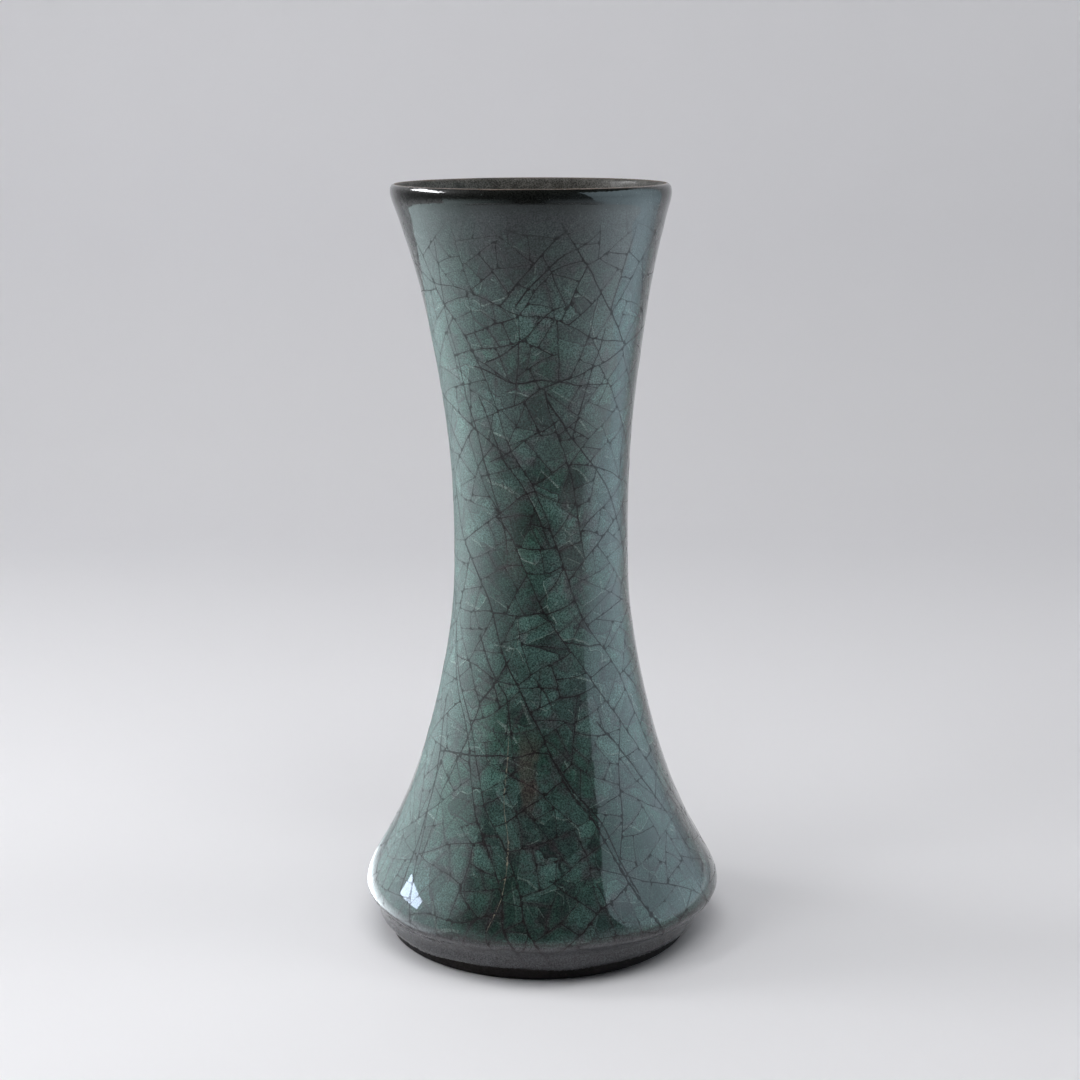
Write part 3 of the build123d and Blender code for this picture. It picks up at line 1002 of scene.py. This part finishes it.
def stage_mesh():
    """Floor that turns up into a wall well behind the vase."""
    profile = [(FLOOR_NEAR, 0.0), (FLOOR_END, 0.0)]
    for step in range(1, BEND_STEPS + 1):
        a = pi / 2 * step / BEND_STEPS
        profile.append((FLOOR_END + WALL_BEND * sin(a), WALL_BEND * (1 - cos(a))))
    profile.append((FLOOR_END + WALL_BEND, WALL_TOP))
    verts = [(x, y, z) for y, z in profile for x in (-FLOOR_SIDE, FLOOR_SIDE)]
    faces = [(2 * i, 2 * i + 1, 2 * i + 3, 2 * i + 2) for i in range(len(profile) - 1)]
    return make_mesh("studio_sweep", verts, faces)


def matt(name, colour):
    return Paint(name, Base_Color=(*colour, 1), Roughness=0.8, Specular_IOR_Level=0.0)


sweep = stage_mesh()
matt("sweep_paper", (0.80, 0.80, 0.825)).colour_with(sweep)

# A dark card over the floor in front of the table, with a soft edge, which paints shade on the
# floor in front as reflections see it. Only reflections see it.
card_corners = [(-CARD_SIDE, CARD_FAR), (CARD_SIDE, CARD_FAR),
                (CARD_SIDE, CARD_NEAR), (-CARD_SIDE, CARD_NEAR)]
card = make_mesh("dark_card", [(x, y, CARD_RISE) for x, y in card_corners], [(0, 1, 2, 3)])
card_mat = matt("card_black", (0.02, 0.02, 0.02))
card_mat.into("Alpha", card_mat.falling(card_mat.xyz()[1], *CARD_FADE))
card_mat.colour_with(card)
only_reflected(card)

scene = bpy.context.scene
world = bpy.data.worlds.new("room")
world.use_nodes = True
background = world.node_tree.nodes["Background"]
background.inputs["Color"].default_value = ROOM_COLOUR
background.inputs["Strength"].default_value = ROOM_GLOW
scene.world = world


# ---- lights
def panel(name, place, aim, wide, tall, radiance, tint=(1, 1, 1), mirrored=True, lit=True):
    """A soft light, seen in reflections if mirrored, that lights matt surfaces if lit."""
    light = bpy.data.lights.new(name, "AREA")
    light.shape = "RECTANGLE"
    light.size, light.size_y = wide, tall
    light.energy = radiance * pi * wide * tall
    light.color = tint
    obj = bpy.data.objects.new(name, light)
    scene.collection.objects.link(obj)
    obj.location = place
    obj.rotation_euler = (Vector(aim) - Vector(place)).to_track_quat("-Z", "Y").to_euler()
    obj.visible_camera = False
    obj.visible_glossy = mirrored
    obj.visible_diffuse = lit


def glowing(name, tint):
    """Light of a mesh's own "glow", which is clear where its "cover" is nothing."""
    material = bpy.data.materials.new(name)
    material.use_nodes = True
    tree = material.node_tree
    tree.nodes.clear()
    shine, clear, both, output, glow, cover = (
        tree.nodes.new("ShaderNode" + kind)
        for kind in ("Emission", "BsdfTransparent", "MixShader", "OutputMaterial",
                     "Attribute", "Attribute"))
    glow.attribute_name, cover.attribute_name = "glow", "cover"
    shine.inputs["Color"].default_value = (*tint, 1)
    for start, end in (
        (glow.outputs["Fac"], shine.inputs["Strength"]),
        (cover.outputs["Fac"], both.inputs[0]),
        (clear.outputs[0], both.inputs[1]),
        (shine.outputs[0], both.inputs[2]),
        (both.outputs[0], output.inputs[0]),
    ):
        tree.links.new(start, end)
    return material


def reflector(name, tint, rows, glow, lean=0.0):
    """A glowing sheet bent round the vase, for reflections only: a soft box, or a painted
    reflection of the lit table or a wall. Rows are (radius, height, share of the glow, degrees
    over which the ends melt away). The glow goes by degrees from the front towards +X. The ends
    lean by some degrees from the first row to the last."""
    angles, levels = list(glow), list(glow.values())
    columns = np.arange(angles[0], angles[-1] + 1e-6, 1.0)
    verts, values, covers = [], [], []
    for row, (radius, high, share, melt) in enumerate(rows):
        for angle in columns:
            at = radians(angle + lean * row / (len(rows) - 1))
            verts.append((radius * sin(at), -radius * cos(at), high))
            values.append(float(np.interp(angle, angles, levels)) * share)
            covers.append(min(1.0, min(angle - angles[0], angles[-1] - angle) / melt))
    count = len(columns)
    faces = [(i * count + j, i * count + j + 1, (i + 1) * count + j + 1, (i + 1) * count + j)
             for i in range(len(rows) - 1) for j in range(count - 1)]
    obj = make_mesh(name, verts, faces)
    for label, numbers in (("glow", values), ("cover", covers)):
        obj.data.attributes.new(label, "FLOAT", "POINT").data.foreach_set("value", numbers)
    obj.data.materials.append(glowing(name, tint))
    only_reflected(obj)


SHARP = 0.1
# rows of low glowing sheets, no lamps: painted reflections of dimly lit walls
WALL_REFLECTION_ROWS = ((0.54, 0.006, 1.0, SHARP), (0.54, 0.05, 1.0, SHARP), (0.54, 0.16, 0.0, SHARP))

reflector(
    "left_soft_box", (0.80, 0.98, 1.0),
    ((0.20, 0.004, 1.0, 12.0), (0.20, 0.154, 1.0, 12.0)),
    {-170: 0.35, -155: 0.5, -142: 0.8, -125: 1.6, -115: 2.05, -105: 2.4, -95: 2.45, -85: 2.3,
     -75: 1.9, -65: 1.6, -55: 1.15, -45: 0.8})
reflector(
    "left_wall_painted_reflection", (0.80, 0.98, 1.0), WALL_REFLECTION_ROWS,
    {-75: 2.0, -65: 1.65, -55: 1.15, -45: 0.8, -35: 0.55, -25: 0.3, -12: 0.06})
reflector(
    "right_soft_box", (0.70, 0.90, 1.0),
    ((0.49, 0.006, 1.0, 24.0), (0.49, 0.05, 1.0, 14.0), (0.49, 0.10, 1.0, SHARP),
     (0.49, 0.19, 0.85, SHARP), (0.49, 0.27, 1.0, SHARP), (0.49, 0.60, 1.0, SHARP)),
    {56: 1.45, 65: 1.85, 75: 2.05, 85: 2.2, 95: 2.2, 105: 2.2, 115: 1.8, 125: 1.25, 138: 0.65},
    lean=-15.0)
reflector(
    "right_wall_painted_reflection", (0.80, 0.92, 1.0), WALL_REFLECTION_ROWS,
    {8: 0.03, 15: 0.30, 25: 0.40, 35: 0.50, 45: 0.55, 55: 0.9, 70: 1.7, 85: 2.0})
# Glowing sheets just above the floor, no lamps: painted reflections of the lit table.
reflector(
    "left_table_painted_reflection", (0.86, 0.95, 1.0),
    ((0.062, 0.003, 2.3, 12.0), (0.12, 0.003, 1.4, 12.0), (0.199, 0.003, 1.0, 12.0)),
    {-150: 0.3, -138: 0.5, -125: 1.5, -115: 2.2, -105: 2.5, -95: 2.5, -85: 2.35, -75: 1.9,
     -65: 1.6, -55: 1.35, -40: 0.9})
reflector(
    "front_table_painted_reflection", (0.84, 0.95, 1.0),
    ((0.13, 0.002, 0.6, 8.0), (0.30, 0.002, 1.0, 8.0), (0.45, 0.002, 1.0, 8.0),
     (0.50, 0.002, 0.1, 8.0)),
    {-75: 1.9, -65: 1.6, -55: 1.35, -45: 1.1, -35: 0.95, -25: 0.75, -12: 0.62, 0: 0.58,
     12: 0.58, 25: 0.65, 35: 0.8, 45: 1.0, 55: 1.3, 65: 1.65, 75: 1.95})
reflector(
    "right_table_painted_reflection", (0.80, 0.93, 1.0),
    ((0.13, 0.0025, 0.3, 14.0), (0.30, 0.0025, 1.0, 14.0), (0.545, 0.0025, 1.0, 14.0)),
    {50: 1.15, 65: 1.65, 75: 1.95, 85: 2.1, 95: 2.1, 105: 2.0, 115: 1.7, 125: 1.2, 138: 0.8})

# Two windows that only reflections see.
panel("high_window", (-0.955, 0.525, 0.91), (0, 0, 0.2), 1.60, 0.34, 22.0, (0.97, 0.98, 1.0),
      lit=False)
panel("low_window", (-0.0746, -0.0291, 0.0300), (-0.0367, -0.0337, 0.0208), 0.020, 0.0080, 16.0,
      (0.66, 0.78, 1.0), lit=False)

# The light of the room, which reflections don't see.
for fill in (
    ("near_top_fill", (0.05, -0.35, 0.85), (0.05, -0.35, 0), 0.6, 0.4, 4.3),
    ("left_top_fill", (-0.3, 0.1, 0.9), (-0.3, 0.1, 0), 0.6, 0.5, 1.7),
    ("left_low_fill", (-0.7, 0.1, 0.55), (-0.1, -0.05, 0), 0.3, 0.3, 7.5),
    ("left_floor_fill", (-0.5, -0.3, 0.6), (-0.42, -0.25, 0), 0.3, 0.3, 6.0),
    ("right_wall_fill", (0.7, 0.0, 0.9), (0.6, 0.7, 0.3), 0.6, 0.5, 3.4),
):
    panel(*fill, mirrored=False)


# ---- camera
CAMERA_PLACE = (-0.0003, -0.56406, 0.24387)
CAMERA_PITCH, CAMERA_ROLL = radians(12.644), radians(0.2284)

camera_data = bpy.data.cameras.new("camera")
camera_data.lens = 66.11
camera_data.sensor_width = 36.0
camera_data.clip_start = 0.01
camera_data.clip_end = 20.0
camera = bpy.data.objects.new("camera", camera_data)
scene.collection.objects.link(camera)
scene.camera = camera
camera.matrix_world = (
    Matrix.Translation(CAMERA_PLACE)
    @ Matrix.Rotation(pi / 2 - CAMERA_PITCH, 4, "X")
    @ Matrix.Rotation(-CAMERA_ROLL, 4, "Z")
)

scene.view_settings.view_transform = "Standard"
